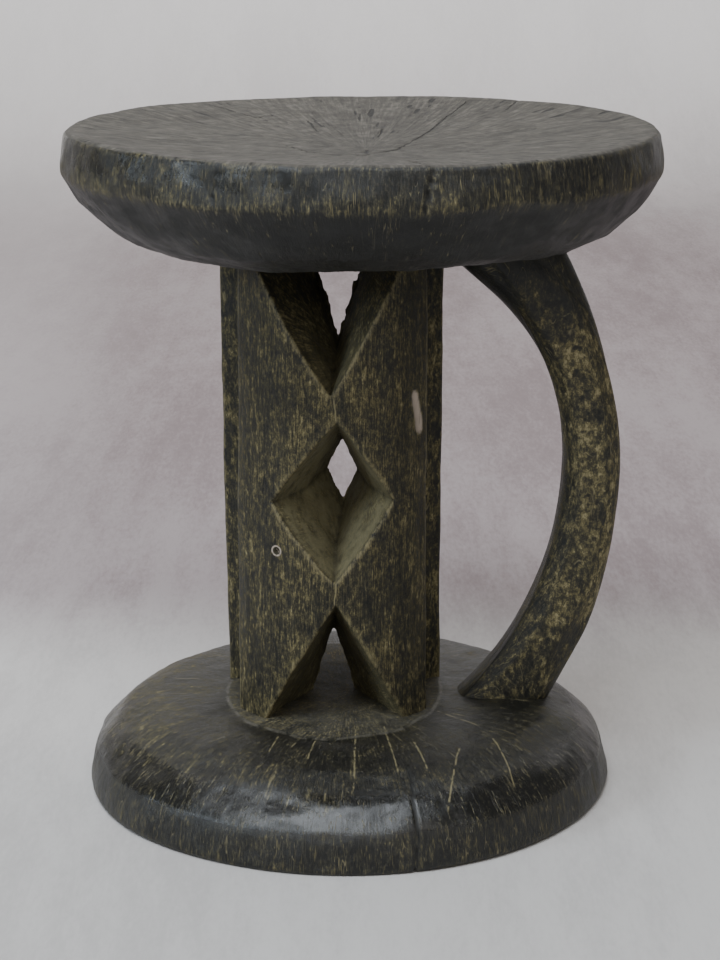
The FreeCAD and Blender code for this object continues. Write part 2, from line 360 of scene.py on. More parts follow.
def seat_skin():
    """Dished top, upright rim with knife facets, and a bowl-shaped underside."""
    rim, top = SEAT_RADIUS + 0.6, SEAT_TOP
    arris = top - 21.5
    outline = np.vstack([
        bow((0, top - 8.6), (rim - 5.0, top), -2.0, 40),
        bow((rim - 5.0, top), (rim - 1.7, top - 4.6), 1.1, 12)[1:],
        bow((rim - 1.7, top - 4.6), (rim, arris + 1.5), 0.8, 14)[1:],
        bow((rim, arris + 1.5), (rim - 1.9, arris - 2.5), 0.3, 6)[1:],
        bow((rim - 1.9, arris - 2.5), (94, SEAT_UNDER + 4), 9.8, 40)[1:],
        bow((94, SEAT_UNDER + 4), (0, SEAT_UNDER), -1.5, 30)[1:],
    ])
    edge = rim - 5.0
    skin, angle, along = turned_skin(outline, edge, edge + 100, RINGS, 73)
    normals = skin.normals()
    ring = np.column_stack([np.cos(angle), np.sin(angle), along / 60])
    wave = 0.9 * noise(ring, 0.45, 21) + 0.35 * noise(ring, 0.16, 22)
    sway = 1.6 * noise(ring * (1, 1, 0), 0.3, 26)
    band_sites = strewn_sites(outline, edge + 7, edge + 19, 12, 24, 11, 0.05)
    bowl_sites = strewn_sites(outline, edge + 31, edge + 87, 14, 24, 12, 0.045)
    sites = (np.vstack(group) for group in zip(band_sites, bowl_sites))
    cut = blade_cuts(skin.points, normals, *sites, 0.5, 0.14)
    cut *= smooth_step(along, edge - 2, edge + 4) * smooth_step(along, edge + 100, edge + 90)
    on_top = smooth_step(along, edge + 6, edge - 40)
    dents = layered_noise(skin.points, (26, 26, 26), 23) * 0.45 * on_top
    on_side = smooth_step(along, edge - 4, edge + 6)
    rugged = layered_noise(skin.points, (11, 11, 11), 27, 3) * 0.34 * on_side
    fine = layered_noise(skin.points, (3, 3, 12), 24, 2) * 0.10
    radial = np.column_stack([np.cos(angle) * 40, np.sin(angle) * 40, along * 0.1])
    fine += layered_noise(radial, (1.1, 1.1, 2.4), 28, 2) * 0.10 * on_top
    skin.push(cut + dents + rugged + fine + wave * 0.35 * smooth_step(along, edge - 30, edge))
    lift = smooth_step(along, edge - 60, edge) * smooth_step(along, edge + 30, edge + 8)
    skin.points[:, 2] += wave * lift + sway * smooth_step(along, edge + 6, edge + 21) * smooth_step(
        along, edge + 48, edge + 24)
    carve_lines(skin, RIM_CRACKS)
    for start, end, width in TOP_CRACKS:
        carve_top(skin, start, end, width)
    wear_values(skin)
    return skin


def carve_lines(skin, cracks):
    """Sinks cracks into an upright band. Each is a path of (degrees, height), a width and a depth."""
    x, y = skin.points[:, 0], skin.points[:, 1]
    reach = np.hypot(x, y)
    angle = np.degrees(np.arctan2(y, x))
    sink = np.zeros(len(x))
    for path, width, depth in cracks:
        turns, heights = np.array(path).T
        middle = np.interp(-skin.points[:, 2], -heights, turns)
        aside = abs(angle - middle) * reach * math.pi / 180
        inside = smooth_step(skin.points[:, 2], heights.min() - 2.5, heights.min() + 0.5)
        inside *= smooth_step(skin.points[:, 2], heights.max() + 2.5, heights.max() - 0.5)
        sink = np.maximum(sink, depth * smooth_step(aside, width, width * 0.2) * inside * (reach > 100))
    skin.values["crack"] = np.maximum(skin.values.get("crack", 0), np.clip(2 * sink, 0, 1))
    skin.push(-sink)


def carve_top(skin, start, end, width):
    """Sinks a crack across the seat's top, and marks it for the material."""
    start, end = np.array(start, float), np.array(end, float)
    way = (end - start) / np.hypot(*(end - start))
    off = skin.points[:, :2] - start
    along = off @ way
    length = np.hypot(*(end - start))
    aside = off @ np.array([way[1], -way[0]]) + 0.9 * noise(skin.points, 6, 29)
    on_top = skin.points[:, 2] > SEAT_TOP - 12
    inside = smooth_step(along, -2, 1) * smooth_step(along, length + 2, length - 1) * on_top
    skin.points[:, 2] -= 0.5 * smooth_step(abs(aside), width, 0.3) * inside


def base_skin():
    """Domed top with a low plinth round the drum's foot, a broad faceted shoulder and a steep band."""
    top = BASE_TOP
    outline = np.vstack([
        bow((0, top + 0.8), (72, top + 0.8), 0, 20),
        bow((72, top + 0.8), (104, 41.2), 0.8, 20)[1:],
        bow((104, 41.2), (134.6, 20.5), 3.6, 36)[1:],
        bow((134.2, 20.5), (135.2, 18.5), 0.2, 5)[1:],
        bow((135.2, 18.5), (138.4, 4.0), 0.7, 16)[1:],
        bow((138.4, 4.0), (136.6, 0), 0.6, 6)[1:],
        bow((136.6, 0), (0, 0), 0, 20)[1:],
    ])
    shoulder = 104.0
    rim = shoulder + 37.0
    skin, angle, along = turned_skin(outline, shoulder, rim + 22, RINGS, 66)
    normals = skin.normals()
    shoulder_sites = strewn_sites(outline, shoulder + 6, rim - 2, 15, 44, 32, 0.035)
    band_sites = strewn_sites(outline, rim + 5, rim + 16, 12, 24, 33, 0.03)
    sites = (np.vstack(group) for group in zip(shoulder_sites, band_sites))
    cut = blade_cuts(skin.points, normals, *sites, 0.45, 0.3)
    cut *= smooth_step(along, 88, 110) * smooth_step(along, rim + 26, rim + 20)
    low = layered_noise(skin.points, (34, 34, 34), 34) * 0.6
    rugged = layered_noise(skin.points, (9, 9, 9), 37, 3) * 0.26
    fine = layered_noise(skin.points, (3, 3, 12), 35, 2) * 0.10
    above = smooth_step(skin.points[:, 2], 0.2, 5)
    skin.push((cut + low + rugged + fine) * above)
    turn = np.degrees(angle)
    square = 2.2 * np.exp(-(((turn - 216) / 24) ** 2)) + 1.2 * np.exp(-(((turn - 262) / 30) ** 2))
    grow = 1 + square * smooth_step(skin.points[:, 2], 34, 6) / 138
    skin.points[:, :2] *= grow[:, None]
    carve_lines(skin, BASE_CRACKS)
    skin.points[:, :2] += (BASE_X, BASE_Y)
    from_drum = np.hypot(1.28 * (skin.points[:, 0] - DRUM_X), skin.points[:, 1])
    from_drum += 3.0 * noise(skin.points, 20, 36)
    on_top = skin.points[:, 2] > 30
    skin.points[:, 2] += np.where(on_top, 0.6 * smooth_step(from_drum, 75, 70), 0)
    wear_values(skin)
    skin.values["from_drum"] = np.where(on_top, from_drum, 999)
    return skin


# Drum

OPENINGS = [
    # corners (x from the drum's axis, height) at the face, behind it and at the neck
    [[(-51.9, 290), (-0.6, 217), (44.2, 290)], [(-30, 290), (1.2, 229.5), (29, 290)],
     [(-13, 290), (3.2, 237.7), (19.4, 290)]],
    [[(-37.4, 161.2), (2.3, 206), (36, 161.6), (1.1, 120)], [(-14.6, 161), (3.6, 192), (19, 163), (1.6, 132)],
     [(-3.2, 167), (5, 183), (12.8, 166), (5.4, 149)]],
    [[(-44.2, 38), (1.8, 109.4), (47.8, 38)], [(-27, 38), (0.9, 92.6), (28, 38)],
     [(-12.6, 38), (0.1, 81.3), (12.8, 38)]],
]
THROAT = 23.0
FACE = 58.0
WEB_HALF = 26.0


def opening_field(x, out, height, sections):
    """Below zero inside one funnel-shaped opening. out is the distance from the drum's middle plane."""
    neck, throat, face = (np.array(section, float) for section in (sections[2], sections[1], sections[0]))
    inner = np.clip(out / THROAT, 0, 1)[..., None]
    outer = np.clip((out - THROAT) / (FACE - THROAT), 0, 1.2)[..., None]
    corners = [
        (neck[k] * (1 - inner) + throat[k] * inner) * (1 - (outer > 0)) +
        (throat[k] * (1 - outer) + face[k] * outer) * (outer > 0)
        for k in range(len(face))
    ]
    field = np.full(np.broadcast_shapes(x.shape, out.shape, height.shape), -99.0)
    turn = 0
    for k in range(len(face)):
        a, b, c = face[k - 1], face[k], face[(k + 1) % len(face)]
        turn += (b[0] - a[0]) * (c[1] - b[1]) - (b[1] - a[1]) * (c[0] - b[0])
    side = math.copysign(1, turn)
    for start, end in zip(corners, corners[1:] + corners[:1]):
        way = end - start
        size = np.hypot(way[..., 0], way[..., 1])
        across = (x - start[..., 0]) * way[..., 1] - (height - start[..., 1]) * way[..., 0]
        field = np.maximum(field, side * across / size)
    return field


def soft_max(a, b, radius):
    """The larger of two fields, with the edge where they meet rounded to about this radius."""
    blend = np.clip(radius - abs(a - b), 0, None) / radius
    return np.maximum(a, b) + radius * blend**2 / 4


def wall_skin(side, radius, corners, seed):
    """One wall of the drum. side is -1 for the front and 1 for the rear.

    corners holds, for its left and its right edge, how far from the drum's axis it stands at the top and the
    foot.
    """
    step = 1.1
    low = np.array([-64.0, -2.0, BASE_TOP - 3])
    high = np.array([64.0, radius + 3, SEAT_UNDER + 4.5])
    axes = [np.arange(a, b, step) for a, b in zip(low, high)]
    x, out, height = np.meshgrid(*axes, indexing="ij", sparse=True)
    shape = tuple(len(axis) for axis in axes)

    def near(field, reach=3.0):
        """The grid points close to where a field is zero: their flat index, and their places in space."""
        index = np.flatnonzero(abs(np.broadcast_to(field, shape)) < reach)
        spots = [axis[part] for axis, part in zip(axes, np.unravel_index(index, shape))]
        return index, np.column_stack(spots)

    def ripple(field, cell, shift, layers=3):
        """Layered noise where a field is close to zero."""
        index, spots = near(field)
        values = np.zeros(shape)
        values.flat[index] = layered_noise(spots * (1, side, 1), cell, seed + shift, layers)
        return values

    body = np.hypot(x, out) - radius + 0 * height
    index, spots = near(body)
    direction = np.column_stack([spots[:, 0], spots[:, 1], 0 * spots[:, 0]])
    direction /= np.linalg.norm(direction, axis=1, keepdims=True)
    on_face = direction * radius + spots * (0, 0, 1)
    body.flat[index] -= blade_cuts(on_face, direction, *drum_sites(radius, seed), 0.35, 0.16, sweep=1100)

    rise = (height - BASE_TOP) / (SEAT_UNDER - BASE_TOP)
    for sign, (top_x, foot_x) in zip((-1, 1), corners):
        corner = foot_x + (top_x - foot_x) * rise
        depth = np.sqrt(radius**2 - corner**2)
        run = corner - WEB_HALF
        groove = (depth * (sign * x - WEB_HALF) - run * out) / np.hypot(depth, run)
        groove = groove + 0.4 * ripple(groove, (14, 14, 46), 1)
        body = soft_max(body, groove, 1.6)
    body = np.maximum(body, -0.4 - out)

    for sections, rag in zip(OPENINGS, (1.5, 0.6, 0.8)):
        opening = opening_field(x, out, height, sections)
        neck = smooth_step(out, 7, 0.5)
        ragged = rag * neck * ripple(opening, (2.2, 3, 6), 5, 2)
        opening = opening + 0.35 * ripple(opening, (18, 18, 30), 7) + ragged
        body = soft_max(body, -opening, 0.9)
    body = np.maximum(body, np.maximum(low[2] + 1.5 - height, height - high[2] + 1.5))

    skin = surface_net(body, low, step)
    skin.points *= (1, side, 1)
    if side < 0:
        skin.quads = skin.quads[:, ::-1]
    skin.push(layered_noise(skin.points, (10, 10, 24), seed + 8, 3) * 0.22 +
              layered_noise(skin.points, (3, 3, 16), seed + 9, 2) * 0.12)
    depth = radius - np.hypot(skin.points[:, 0], skin.points[:, 1])
    spots = [skin.points[:, 0], abs(skin.points[:, 1]), skin.points[:, 2]]
    field = np.min([opening_field(*spots, sections) for sections in OPENINGS], axis=0)
    skin.values["inside"] = smooth_step(field, 1.6, 0.6) * smooth_step(depth, 1.0, 3.5)
    skin.points[:, 0] += DRUM_X
    skin.values["bare"] = np.zeros(len(skin.points))
    if side < 0:
        for start, end, reach, sink in SCARS:
            carve_scar(skin, np.array(start), np.array(end), reach, sink)
    wear_values(skin)
    return skin


WORM_HOLE = (-43.6, -49.3, 136.0)
SCARS = [
    # ends, half width and depth of the worm hole and of the gouge in the front wall
    (WORM_HOLE, (-43.4, -49.6, 135.8), 1.3, 2.4), ((27.0, -38.8, 214.5), (29.2, -36.2, 197.0), 2.2, 1.0),
]


def carve_scar(skin, start, end, reach, sink):
    """Sinks a round-ended scar into a skin and marks the bare wood in it."""
    way = end - start
    part = np.clip((skin.points - start) @ way / (way @ way), 0, 1)
    away = np.linalg.norm(skin.points - start - part[:, None] * way, axis=1)
    away += 0.35 * noise(skin.points, 2.5, 71)
    skin.values["bare"] = np.maximum(skin.values["bare"], smooth_step(away, reach + 0.7, reach - 0.2))
    skin.push(-sink * smooth_step(away, reach, reach * 0.55))


def drum_sites(radius, seed):
    """Long upright blade strokes side by side round a wall's outer face."""
    random = np.random.default_rng(seed)
    spots = [
        (strip + random.uniform(-4, 4), height + random.uniform(-18, 18))
        for k, strip in enumerate(np.arange(-74, 75, 14.5))
        for height in np.arange(20 + 30 * (k % 2), 320, 62)
    ]
    angle, height = np.array(spots).T
    angle = np.radians(angle)
    normals = np.column_stack([np.sin(angle), np.cos(angle), np.zeros(len(angle))])
    sites = normals * radius + np.array([0, 0, 1]) * height[:, None]
    normals = normals + random.normal(0, 0.012, normals.shape)
    return sites, normals


# Handle

def handle_skin():
    """The bowed grip: a rounded bar worked to long flats, made straight first and then bent along its bow."""
    rows, columns = 300, 120
    low, high = BASE_TOP - 14, SEAT_UNDER + 14
    level, outer_radius = 165.0, 245.0
    inner_level, inner_reach, upper_radius, lower_radius, straight_from = 172.0, 105.1, 118.0, 178.0, 261.0
    part = np.linspace(0, 1, rows)
    outer_z = low + (high - low) * part
    outer_x = HANDLE_REACH - outer_radius + np.sqrt(outer_radius**2 - (outer_z - level) ** 2)
    inner_z = (low + 4) + (high - 10 - low) * part
    above = np.minimum(inner_z, straight_from) - inner_level
    inner_radius = np.where(above > 0, upper_radius, lower_radius)
    inner_x = inner_reach - inner_radius + np.sqrt(inner_radius**2 - above**2)
    rise = straight_from - inner_level
    steepness = rise / math.sqrt(upper_radius**2 - rise**2)
    inner_x -= steepness * np.maximum(inner_z - straight_from, 0)
    outer = np.column_stack([outer_x, outer_z])
    inner = np.column_stack([inner_x, inner_z])
    middle, half = (outer + inner) / 2, (outer - inner) / 2
    width = np.hypot(*half.T)
    across = half / width[:, None]
    step = np.hypot(*np.diff(middle, axis=0).T)
    run = np.concatenate([[0], np.cumsum(step)])

    turn = np.linspace(0, math.tau, columns, endpoint=False)
    power = 2 / 2.7
    shape_u = np.sign(np.cos(turn)) * abs(np.cos(turn)) ** power
    shape_v = np.sign(np.sin(turn)) * abs(np.sin(turn)) ** power
    depth = HANDLE_HALF_DEPTH * (1 + 0.1 * smooth_step(abs(part - 0.5), 0.3, 0.5))
    straight = np.stack([
        width[:, None] * shape_u, depth[:, None] * shape_v, np.repeat(run[:, None], columns, axis=1)
    ], axis=-1).reshape(-1, 3)
    index = np.arange(rows * columns).reshape(rows, columns)
    turned = np.roll(index, -1, axis=1)
    quads = np.stack([index[:-1], turned[:-1], turned[1:], index[1:]], axis=-1).reshape(-1, 4)
    skin = Skin(straight, quads)

    random = np.random.default_rng(61)
    sites, site_normals = [], []
    for k, degrees in enumerate((0, 55, 90, 125, 180, 235, 270, 305)):
        for spot in np.arange(12 + 24 * (k % 2), run[-1], 52):
            spot = spot + random.uniform(-12, 12)
            a = math.radians(degrees + random.uniform(-6, 6))
            row = int(np.clip(np.searchsorted(run, spot), 0, rows - 1))
            u = math.copysign(abs(math.cos(a)) ** power, math.cos(a)) * width[row]
            v = math.copysign(abs(math.sin(a)) ** power, math.sin(a)) * depth[row]
            grow = 2 / power - 1
            normal = np.array([
                math.copysign(abs(u / width[row]) ** grow / width[row], u),
                math.copysign(abs(v / depth[row]) ** grow / depth[row], v), 0
            ])
            sites.append((u, v, spot))
            site_normals.append(normal / np.linalg.norm(normal))
    site_normals = np.array(site_normals) + random.normal(0, 0.02, (len(sites), 3))
    site_normals /= np.linalg.norm(site_normals, axis=1, keepdims=True)
    cut = blade_cuts(skin.points, skin.normals(), np.array(sites), site_normals, 0.35, 0.15, sweep=900)
    dents = layered_noise(skin.points, (12, 12, 34), 62) * 0.35
    fine = layered_noise(skin.points, (3.5, 3.5, 16), 63, 2) * 0.10
    skin.push(np.clip(cut, -1.4, 0.3) + dents + fine)

    row = np.repeat(np.arange(rows), columns)
    u, v = skin.points[:, 0], skin.points[:, 1]
    slide = skin.points[:, 2] - run[row]
    bent = middle[row] + across[row] * u[:, None]
    skin.values["inner"] = np.clip(-u / width[row], 0, 1)
    skin.points = np.column_stack([bent[:, 0], -v, bent[:, 1] + slide])
    caps = [index[0, ::-1], index[-1]]
    for cap in caps:
        count = len(cap) // 2
        for k in range(count - 1):
            pair = (cap[k], cap[k + 1], cap[len(cap) - 2 - k], cap[len(cap) - 1 - k])
            skin.quads = np.vstack([skin.quads, pair])
    wear_values(skin)
    return skin


# Materials

class Tree:
    """A material under way. Each call makes a node and gives its output, to feed into the next."""

    def __init__(self, name, pith=(0, 0)):
        self.pith = pith
        self.material = bpy.data.materials.new(name)
        self.material.use_nodes = True
        self.nodes = self.material.node_tree.nodes
        self.links = self.material.node_tree.links
        self.nodes.clear()
        place = self.node("ShaderNodeTexCoord", {}, "Object")
        self.at = self.node("ShaderNodeVectorMath", {0: place, 3: 1 / MM}, operation="SCALE")
        self.x, self.y, self.z = self.split(self.at)

    def node(self, kind, inputs, output=0, **settings):
        made = self.nodes.new(kind)
        for key, value in settings.items():
            setattr(made, key, value)
        for key, value in inputs.items():
            if isinstance(value, bpy.types.NodeSocket):
                self.links.new(value, made.inputs[key])
            else:
                made.inputs[key].default_value = value
        return made.outputs[output] if made.outputs else None

    def split(self, vector):
        made = self.nodes.new("ShaderNodeSeparateXYZ")
        self.links.new(vector, made.inputs[0])
        return made.outputs[0], made.outputs[1], made.outputs[2]

    def math(self, operation, a, b=0.0, c=0.0):
        return self.node("ShaderNodeMath", {0: a, 1: b, 2: c}, operation=operation)

    def plus(self, first, *rest):
        for value in rest:
            first = self.math("ADD", first, value)
        return first

    def times(self, first, *rest):
        for value in rest:
            first = self.math("MULTIPLY", first, value)
        return first

    def step(self, value, low, high, floor=0.0, ceiling=1.0):
        """floor where value is at low, ceiling where it is at high, and an eased slope between."""
        return self.node("ShaderNodeMapRange", {0: value, 1: low, 2: high, 3: floor, 4: ceiling},
                         interpolation_type="SMOOTHSTEP")

    def noise(self, cell, detail=2.0, rough=0.5):
        """Noise from 0 to 1 with cells of this size, in millimetres along X, Y and Z."""
        shrink = [1 / size for size in cell]
        scaled = self.node("ShaderNodeVectorMath", {0: self.at, 1: shrink}, operation="MULTIPLY")
        return self.node("ShaderNodeTexNoise", {
            "Vector": scaled, "Scale": 1.0, "Detail": detail, "Roughness": rough,
        })

    def attribute(self, name):
        return self.node("ShaderNodeAttribute", {}, "Fac", attribute_name=name)

    def mix(self, share, a, b):
        """Colour a, turning to colour b by share."""
        a, b = (value if isinstance(value, bpy.types.NodeSocket) else (*value, 1) for value in (a, b))
        made = self.nodes.new("ShaderNodeMix")
        made.data_type = "RGBA"
        for key, value in ((0, share), (6, a), (7, b)):
            if isinstance(value, bpy.types.NodeSocket):
                self.links.new(value, made.inputs[key])
            else:
                made.inputs[key].default_value = value
        return made.outputs[2]

    def rays(self, width, height, depth, detail=2.0, rough=0.55):
        """Noise drawn out along the log: streaks up its sides, and rays from its pith across its ends."""
        x, y = self.plus(self.x, -self.pith[0]), self.plus(self.y, -self.pith[1])
        across = self.math("SQRT", self.plus(self.times(x, x), self.times(y, y), 4.0))
        turn = 100 / width
        spot = self.node("ShaderNodeCombineXYZ", {
            0: self.times(self.math("DIVIDE", x, across), turn),
            1: self.times(self.math("DIVIDE", y, across), turn),
            2: self.times(self.z, 1 / height),
        })
        return self.node("ShaderNodeTexNoise", {
            "Vector": spot, "W": self.times(across, 1 / depth), "Scale": 1.0,
            "Detail": detail, "Roughness": rough,
        }, noise_dimensions="4D")

    def away(self, centre):
        """The distance from a point."""
        return self.node("ShaderNodeVectorMath", {0: self.at, 1: centre}, 1, operation="DISTANCE")

    def lines(self, value, width):
        """1 along the thin lines where noise passes its middle value."""
        return self.step(self.math("ABSOLUTE", self.plus(value, -0.5)), width, 0.0)

    def crack(self, u, v, start, end, width, wobble=2.2):
        """1 along a crooked crack from start to end in the plane of u and v."""
        length = math.dist(start, end)
        way = [(b - a) / length for a, b in zip(start, end)]
        shift = self.times(self.plus(self.noise((5, 5, 5), 2.0), -0.5), wobble)
        u, v = self.plus(u, -start[0]), self.plus(v, -start[1])
        along = self.plus(self.times(u, way[0]), self.times(v, way[1]))
        aside = self.plus(self.times(u, way[1]), self.times(v, -way[0]), shift)
        inside = self.times(self.step(along, -1.5, 1.5), self.step(along, length + 1.5, length - 1.5))
        return self.times(self.step(self.math("ABSOLUTE", aside), width, width * 0.25), inside)

    def finish(self, colour, roughness, height, bump, specular=0.5):
        relief = self.node("ShaderNodeBump", {"Strength": 1.0, "Distance": bump * MM, "Height": height})
        surface = self.node("ShaderNodeBsdfPrincipled", {
            "Base Color": colour, "Roughness": roughness, "Normal": relief,
            "Specular IOR Level": specular,
        })
        self.node("ShaderNodeOutputMaterial", {"Surface": surface})
        return self.material


BLACK = (0.0042, 0.0042, 0.0034)
DARK = (0.0115, 0.0110, 0.0080)
MIDDLE = (0.0310, 0.0272, 0.0145)
OCHRE = (0.100, 0.083, 0.036)
STRAW = (0.235, 0.200, 0.105)
DUST = (0.085, 0.078, 0.060)
BARE = (0.34, 0.285, 0.235)


def ramp(tree, value, *stops):
    """A colour that passes through the stops, each a (value, colour), as value rises."""
    colour = stops[0][1]
    for (low, _), (high, after) in zip(stops, stops[1:]):
        colour = tree.mix(tree.step(value, low, high), colour, after)
    return colour


def patina(tree, lift, shine=0.0):
    """Smoke-dark skin with ochre wood showing along its grain: colour, tone, relief and roughness.

    lift is added to the tone, from which the colour follows: below zero it is darker. shine is 1 where hands
    and clothes have polished the wood.
    """
    grain = tree.rays(1.1, 9, 12, 6.0, 0.85)
    mottle = tree.noise((2.2, 2.2, 3.6), 5.0, 0.85)
    cloud = tree.noise((15, 15, 26), 5.0, 0.7)
    pores = tree.rays(0.7, 4, 5, 1.0)
    tone = tree.plus(
        tree.times(grain, 0.58), tree.times(mottle, 0.50), tree.times(cloud, 0.24), lift, -0.17)
    colour = ramp(tree, tone, (0.42, BLACK), (0.475, DARK), (0.53, MIDDLE), (0.585, OCHRE), (0.65, STRAW))
    colour = tree.mix(tree.times(tree.step(pores, 0.40, 0.28), 0.8), colour, BLACK)
    broken = tree.step(tree.noise((7, 7, 12), 3.0, 0.6), 0.46, 0.60)
    hairs = tree.times(tree.lines(tree.rays(2.4, 34, 40, 2.0), 0.010), broken)
    colour = tree.mix(tree.times(hairs, 0.5), colour, STRAW)
    height = tree.plus(
        tree.times(grain, 1.3), tree.times(mottle, 0.9), tree.times(pores, 0.4), tree.times(hairs, -0.5))
    height = tree.times(height, tree.plus(1.0, tree.times(shine, -0.6)))
    rough = tree.plus(0.36, tree.times(tree.step(tone, 0.44, 0.60), 0.28))
    rough = tree.times(rough, tree.plus(1.0, tree.times(shine, -0.48)))
    return colour, tone, height, rough


def rubbed(tree, colour, tone, crest_share=0.45, hollow_share=0.6):
    """Pale rubbed crests and black hollows on top of a patina."""
    crest = tree.times(tree.attribute("crest"), tree.step(tone, 0.44, 0.56), crest_share)
    colour = tree.mix(crest, colour, STRAW)
    return tree.mix(tree.times(tree.attribute("hollow"), hollow_share), colour, BLACK)


BASE_LINES = [
    # (degrees, distance) from the base's centre where each pale drying line starts and ends
    ((-86.4, 55), (-88.7, 115)),
    ((-70.7, 54), (-76.9, 107)),
    ((-64.7, 75), (-69, 109)),
    ((-30.2, 54), (-36, 82)),
    ((-54.5, 96), (-68, 130)),
    ((-40.6, 96), (-49, 126)),
    ((-103.7, 71), (-102.6, 94)),
    ((-119.2, 74), (-115.8, 92)),
]


def seat_wood():
    tree = Tree("seat_wood", (2, -36))
    upright = tree.step(tree.z, 320, 325)
    wander = tree.times(tree.plus(tree.noise((12, 12, 12), 3.0), -0.5), 12.0)
    low = tree.plus(tree.z, wander)
    low_band = tree.times(tree.step(low, 338, 328), upright, 0.035)
    # Darker on the bowl underside below the rim: painted shade under the seat.
    under = tree.times(tree.step(low, 326, 318), -0.075)
    shine = tree.times(tree.step(tree.z, 326, 336), tree.step(tree.noise((18, 18, 18), 4.0), 0.30, 0.62))
    shine = tree.times(shine, tree.step(tree.x, 0, -40, 0.15, 1.0))
    colour, tone, height, rough = patina(tree, tree.plus(low_band, under, -0.04), shine)
    streaks = tree.step(tree.rays(0.9, 9, 6, 3.0, 0.7), 0.54, 0.66)
    lower = tree.step(low, 345, 326, 0.25, 0.85)
    worn = tree.step(tree.noise((16, 16, 16), 4.0, 0.6), 0.36, 0.58, 0.2)
    colour = tree.mix(tree.times(streaks, lower, upright, worn), colour, OCHRE)
    matt = tree.step(tree.noise((15, 15, 9), 4.0, 0.6), 0.60, 0.42, 0.02, 0.16)
    rough = tree.plus(rough, tree.times(tree.step(tree.z, 325, 318), matt))
    colour = rubbed(tree, colour, tone)
    colour = tree.mix(tree.attribute("crack"), colour, BLACK)

    top = tree.step(tree.split(tree.node("ShaderNodeNewGeometry", {}, "Normal"))[2], 0.60, 0.92)
    grain = tree.rays(1.3, 80, 22, 5.0, 0.75)
    mottle = tree.noise((7, 7, 7), 5.0, 0.7)
    grey = ramp(tree, tree.plus(tree.times(grain, 0.6), tree.times(mottle, 0.4)),
                (0.38, (0.016, 0.0145, 0.0115)), (0.48, (0.050, 0.045, 0.036)), (0.61, (0.112, 0.101, 0.084)))
    patches = tree.step(tree.noise((22, 22, 22), 2.0), 0.40, 0.58)
    checks = tree.times(tree.step(tree.rays(2.2, 80, 17, 1.0), 0.64, 0.70), patches)
    checks = tree.math("MAXIMUM", checks, tree.step(tree.rays(4.5, 80, 34, 1.0), 0.70, 0.735))
    for start, end, width in TOP_CRACKS:
        checks = tree.math("MAXIMUM", checks, tree.crack(tree.x, tree.y, start, end, 0.75 * width))
    checks = tree.times(checks, top)
    grey = tree.mix(tree.times(checks, 0.9), grey, BLACK)
    colour = tree.mix(top, colour, grey)
    rough = tree.plus(tree.times(rough, tree.plus(1.0, tree.times(top, -1.0))), tree.times(top, 0.66))
    height = tree.plus(height, tree.times(checks, -1.8))
    return tree.finish(colour, rough, height, 0.35, 0.4)


def drum_wood():
    tree = Tree("drum_wood")
    inside = tree.attribute("inside")
    dusty = tree.step(tree.z, 60, 44)
    lift = tree.plus(0.034, tree.times(inside, 0.02), tree.times(dusty, 0.03))
    colour, tone, height, rough = patina(tree, lift)
    for start, end in (((DRUM_X + 1, 217), (DRUM_X + 2, 205)), ((DRUM_X + 2, 121), (DRUM_X + 1, 109))):
        line = tree.times(tree.crack(tree.x, tree.z, start, end, 0.55, 1.4), tree.step(tree.y, -40, -45), 0.6)
        colour = tree.mix(line, colour, STRAW)
    # Painted light: the inner faces of the openings are lightened where light reaches into them, less up
    # under the seat and down at the arch.
    patches = tree.step(tree.noise((6, 6, 9), 5.0, 0.7), 0.30, 0.62, 0.25, 1.0)
    lit = tree.times(inside, tree.step(tree.z, 262, 200), tree.step(tree.z, 104, 120, 0.35, 0.9), patches)
    colour = tree.mix(lit, colour, (0.150, 0.134, 0.074))
    colour = rubbed(tree, colour, tone, 0.8)
    bare = tree.attribute("bare")
    hole = tree.away(WORM_HOLE)
    broken = tree.step(tree.noise((2, 2, 2)), 0.3, 0.5)
    bare = tree.math("MAXIMUM", bare, tree.times(tree.step(hole, 3.2, 2.6), broken))
    colour = tree.mix(bare, colour, BARE)
    colour = tree.mix(tree.step(hole, 2.3, 1.9), colour, MIDDLE)
    rough = tree.plus(rough, 0.06, tree.times(inside, 0.15), tree.times(bare, 0.3))
    return tree.finish(colour, rough, height, 0.35, 0.3)


def handle_wood():
    tree = Tree("handle_wood")
    inner = tree.step(tree.attribute("inner"), 0.2, 0.9)
    top = tree.step(tree.z, 225, 262)
    grip = tree.times(tree.step(tree.z, 70, 110), tree.plus(1.0, tree.times(top, -1.0)))
    # Darker on the inner side facing the drum and towards the top under the seat: painted shade.
    lift = tree.plus(0.035, tree.times(grip, 0.03), tree.times(top, -0.04), tree.times(inner, -0.03))
    colour, tone, height, rough = patina(tree, lift)
    colour = rubbed(tree, colour, tone)
    return tree.finish(colour, rough, height, 0.35, 0.35)


